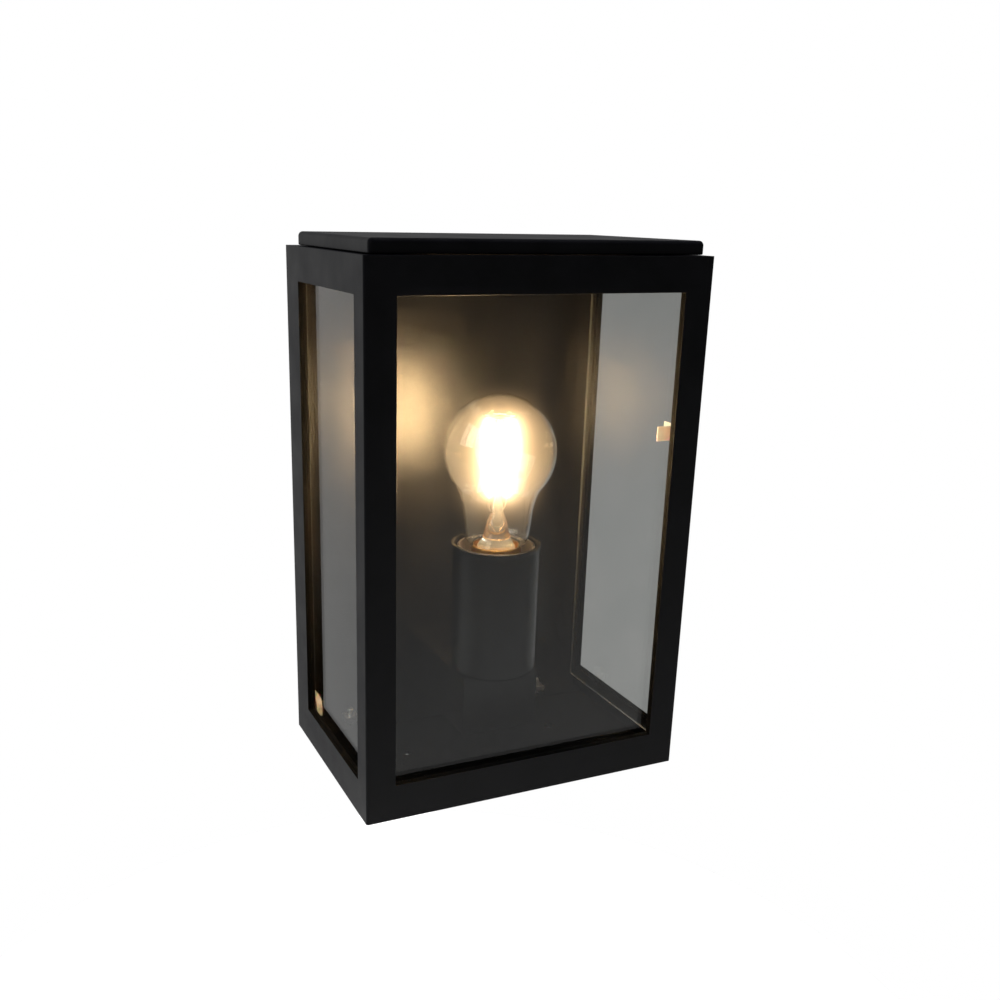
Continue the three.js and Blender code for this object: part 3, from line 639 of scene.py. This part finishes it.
# %% Turning helper
CAP_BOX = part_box("lamp_cap")
AXIS = Vector(((CAP_BOX[0].x + CAP_BOX[1].x) / 2, (CAP_BOX[0].y + CAP_BOX[1].y) / 2, 0))
BASE_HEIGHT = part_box("cover_frame")[0].z


def rounded(corners, steps=4, closed=False):
    """Replace each corner (radius, height, rounding), in mm, by a short curve."""
    outline = []
    count = len(corners)
    for i, (r, z, rounding) in enumerate(corners):
        here = Vector((r, z))
        if rounding == 0 or (not closed and i in (0, count - 1)):
            outline.append(here)
            continue
        before = Vector(corners[i - 1][:2])
        after = Vector(corners[(i + 1) % count][:2])
        start = here + (before - here).normalized() * rounding
        end = here + (after - here).normalized() * rounding
        for k in range(steps + 1):
            t = k / steps
            outline.append(start * (1 - t) ** 2 + here * 2 * t * (1 - t) + end * t ** 2)
    return outline


def spun(outline, steps, closed, axis=AXIS, base=BASE_HEIGHT):
    """Spin an outline given in mm, with heights above the cover's underside."""
    shape = bmesh.new()
    chain = [shape.verts.new((axis.x + p[0] * MM, axis.y, base + p[1] * MM)) for p in outline]
    edges = [shape.edges.new(pair) for pair in zip(chain, chain[1:])]
    if closed:
        edges.append(shape.edges.new((chain[-1], chain[0])))
    bmesh.ops.spin(shape, geom=chain + edges, cent=axis, axis=(0, 0, 1), dvec=(0, 0, 0),
                   angle=2 * math.pi, steps=steps, use_merge=True, use_duplicate=False)
    bmesh.ops.remove_doubles(shape, verts=shape.verts, dist=0.001 * MM)
    bmesh.ops.recalc_face_normals(shape, faces=shape.faces)
    return shape

print("lamp axis", tuple(round(v, 4) for v in AXIS))

# %% [markdown]
# The cup round the lampholder is deep drawn from sheet, so its foot is rounded and its mouth
# is turned outwards into a small bead that catches the lamp's light.

# %% Holder cup
def above_base(node):
    """A node's lowest and highest point in mm above the cover's underside, and its radius."""
    low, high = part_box(node)
    return (low.z - BASE_HEIGHT) / MM, (high.z - BASE_HEIGHT) / MM, (high.x - low.x) / 2 / MM


cup_low, cup_high, lip = above_base("holder_cup")
cup_radius = lip - 0.8
cup = spun(rounded([
    (5.3, cup_low, 0), (cup_radius, cup_low, 2.4), (cup_radius, cup_high - 2.2, 0.5),
    (lip, cup_high - 1.5, 0.5), (lip, cup_high - 0.1, 0.6), (cup_radius - 1.2, cup_high, 0.4),
    (cup_radius - 1.2, cup_low + 1.2, 1.8), (5.3, cup_low + 1.2, 0)], closed=True), 96, True)
piece_from(cup, "holder_cup_fine", "base", [INNER_COAT], ["holder_cup"])
print("cup", round(cup_high - cup_low, 1), "mm high")

# %% [markdown]
# Inside the cup sits the moulded insert. All that shows is its thin round skirt and, deep
# down, the shelf round the thread shell.

# %% Holder insert
insert_low, insert_high, insert_radius = above_base("holder_body")
shell_low, shell_high, shell_radius = above_base("screw_shell")
insert = spun(rounded([
    (5.3, insert_low, 0), (insert_radius, insert_low, 1.5), (insert_radius, insert_high, 0.3),
    (insert_radius - 1.3, insert_high, 0.3), (insert_radius - 1.3, insert_high - 10.2, 0.6),
    (shell_radius + 0.4, insert_high - 10.2, 0.4), (shell_radius + 0.4, shell_low - 3.6, 0.2),
    (13, shell_low - 3.6, 0.3), (13, insert_low + 4, 0.5), (5.3, insert_low + 4, 0)],
    closed=True), 96, True)
piece_from(insert, "holder_body_fine", "base", [PHENOLIC], ["holder_body"])

# %% [markdown]
# The thread shell is a thin nickel-plated tube with a coarse round thread pressed into it. The
# thread is drawn as rings, because its slope of a few degrees can't be seen down in the cup.

# %% Thread shell
PITCH = 3.62


def thread_outline(root, crest, start, turns, per_turn=10):
    """Radius and height going up a rolled thread, drawn as smooth rings."""
    steps = int(turns * per_turn)
    middle, swing = (root + crest) / 2, (crest - root) / 2
    return [Vector((middle - swing * math.cos(2 * math.pi * k / per_turn), start + PITCH * k / per_turn))
            for k in range(steps + 1)]


inner_wall = thread_outline(shell_radius - 0.7, shell_radius - 0.15, shell_low + 1, 4)
outer_wall = [Vector((p[0] + 0.35, p[1])) for p in thread_outline(
    shell_radius - 0.75, shell_radius - 0.4, shell_low + 1, 4)]
shell = spun([Vector((shell_radius - 0.7, shell_low)), *inner_wall,
              Vector((shell_radius - 0.7, shell_high)), Vector((shell_radius - 0.2, shell_high)),
              *reversed(outer_wall), Vector((shell_radius - 0.2, shell_low))], 64, True)
piece_from(shell, "screw_shell_fine", "base", [NICKEL], ["screw_shell"])
print("shell", round(shell_high - shell_low, 1), "mm long")

# %% [markdown]
# The bulb is a ball that runs down through a long shoulder into a neck. The outside is drawn
# once and the inside is the same line set in by the wall, so the glass is even.

# %% Bulb glass
BALL_RADIUS = (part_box("lamp_envelope")[1].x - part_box("lamp_envelope")[0].x) / 2 / MM
glass_low, glass_high, _ = above_base("lamp_envelope")
BALL_CENTRE = glass_high - BALL_RADIUS


def bulb_line(inset):
    ball = []
    leave = math.radians(128)
    radius = BALL_RADIUS - inset
    for i in range(29):
        angle = leave * i / 28
        ball.append(Vector((radius * math.sin(angle), BALL_CENTRE + radius * math.cos(angle))))
    end = ball[-1]
    shoulder = interpolate_bezier(end, end + Vector((-3.2, -4.2)), Vector((18.9 - inset, 145)),
                                  Vector((18.3 - inset, 138)), 14)
    neck = interpolate_bezier(shoulder[-1].to_2d(), Vector((17.9 - inset, 134)),
                              Vector((17.3 - inset, 127)), Vector((15.4 - inset, glass_low + 1)), 8)
    return [*ball, *[p.to_2d() for p in shoulder[1:]], *[p.to_2d() for p in neck[1:]]]


bulb = spun([*bulb_line(0), Vector((13.3, glass_low)), Vector((12.4, glass_low)),
             *reversed(bulb_line(0.7))], 96, False)
piece_from(bulb, "lamp_envelope_fine", "lamp", [LAMP_GLASS], ["lamp_envelope"],
           smooth_angle=60, weighted=False)
print("bulb", round(glass_high - glass_low, 1), "mm high")

# %% [markdown]
# The stem starts as a flared foot sealed into the neck and narrows to the pinch where the
# two lead wires come out. A thin rod goes on up to carry the top of the filament.

# %% Stem
stem_low, stem_high, _ = above_base("lamp_stem")
stem_outline = [(0, stem_low), (9.4, stem_low), (10.2, stem_low + 1), (8.2, 126), (6.9, 129),
                (6.2, 132), (5.4, 136), (4.0, 139.5), (3.0, 143), (2.6, 146.5), (1.7, 149),
                (1.3, 151), (1.3, stem_high - 1), (0.8, stem_high - 0.2), (0, stem_high)]
stem = spun([Vector(p) for p in stem_outline], 40, False)
piece_from(stem, "lamp_stem_fine", "lamp", [STEM_GLASS], ["lamp_stem"],
           smooth_angle=60, weighted=False)

# %% [markdown]
# Each filament stick is a slim rod with round ends that leans outwards a little. It is spun
# upright on its own axis and then laid along the line of its CAD node.

# %% Filament sticks
STICK_RADIUS_MM = 0.95
STICK_TIP_MM = 0.7


def filament(number):
    node = f"filament_{number}"
    co = [v.co for v in NODES[node].data.vertices]
    lowest = min(c.z for c in co)
    highest = max(c.z for c in co)
    def middle(level):
        ring = [c for c in co if abs(c.z - level) < 1.2 * MM]
        return sum(ring, Vector()) / len(ring)
    foot, head = middle(lowest), middle(highest)
    length = (head - foot).length / MM
    stick = spun([Vector((0, 0)), Vector((0.6, 0.05)), Vector((STICK_RADIUS_MM, STICK_TIP_MM)),
                  Vector((STICK_RADIUS_MM, length - STICK_TIP_MM)),
                  Vector((0.6, length - 0.05)), Vector((0, length))],
                 16, False, axis=Vector((0, 0, 0)), base=0)
    turn = (head - foot).to_track_quat("Z", "Y").to_matrix().to_4x4()
    bmesh.ops.transform(stick, matrix=Matrix.Translation(foot) @ turn, verts=stick.verts)
    return piece_from(stick, node + "_fine", "lamp", [PHOSPHOR], [node],
                      smooth_angle=60, weighted=False)


for number in range(1, 5):
    filament(number)
print("four filament sticks")

# %% [markdown]
# The lamp's cap is rolled from thin brass with the thread pressed into it, and its upper
# skirt is plain where it grips the glass.

# %% Lamp cap
cap_low, cap_high, cap_radius = above_base("lamp_cap")
cap = spun([Vector((9.6, cap_low)), Vector((11.6, cap_low + 0.7)),
            *thread_outline(cap_radius - 1.1, cap_radius, cap_low + 1.8, 4),
            Vector((cap_radius - 1.1, cap_high - 4.6)), Vector((cap_radius, cap_high - 3.8)),
            Vector((cap_radius, cap_high - 0.3)), Vector((cap_radius - 0.3, cap_high)),
            Vector((cap_radius - 1.6, cap_high)), Vector((cap_radius - 1.6, cap_low + 1.8)),
            Vector((9.6, cap_low + 0.6))], 72, True)
piece_from(cap, "lamp_cap_fine", "lamp", [BRASS], ["lamp_cap"])
print("cap", round(cap_high - cap_low, 1), "mm long")

# %% [markdown]
# Small folded, moulded and turned hardware keeps its CAD shape with a little softness at its
# edges. The bracket's screws are black like the sheet, so they wear the sheet's coat.

# %% Clips, nuts and screws
SMALL_PARTS = {
    "cover": (["cover_nut_left", "cover_nut_right"], "zinc_steel", ZINC),
    "base": (["holder_locknut_lower", "holder_locknut_upper", "earth_washer"], "zinc_steel", ZINC),
    "screw_left": (["cover_screw_left"], "zinc_steel", ZINC),
    "screw_right": (["cover_screw_right"], "zinc_steel", ZINC),
}
for body, (names, slot, material) in SMALL_PARTS.items():
    for name in names:
        softened(name, 0.12, 2, body, material)
softened("corner_clip", 0.12, 2, "cover", NYLON)
for name in ("bracket_screw_left", "bracket_screw_right"):
    softened(name, 0.12, 2, "base", INNER_COAT)
for name in ("terminal_block", "pane_stop"):
    softened(name, 0.3, 3, "base", NYLON)
softened("contact_base", 0.3, 2, "base", PHENOLIC)

# %% [markdown]
# What is left are the wires, grommets and contacts. Their CAD shape is right as it is, so
# they only change their material.

# %% Finishes for the remaining CAD parts
FINISHES = {
    RUBBER: ["seal_front", "seal_left", "seal_right", "cable_grommet", "lid_grommet_1",
             "lid_grommet_2", "lid_grommet_3", "lid_grommet_4"],
    BRASS: ["earth_screw", "centre_contact", "terminal_screw_1", "terminal_screw_2",
            "terminal_screw_3"],
    ZINC: ["holder_nipple"],
    PVC_BROWN: ["wire_live"],
    PVC_BLUE: ["wire_neutral"],
    PVC_EARTH: ["wire_earth"],
    VITRITE: ["lamp_insulator"],
    SOLDER: ["lamp_contact"],
    NICKEL_WIRE: ["filament_crown", "lead_wire_left", "lead_wire_right"],
}
for material, names in FINISHES.items():
    for name in names:
        NODES[name].data.materials.clear()
        NODES[name].data.materials.append(material)
print("finishes set on", sum(len(names) for names in FINISHES.values()), "CAD parts")
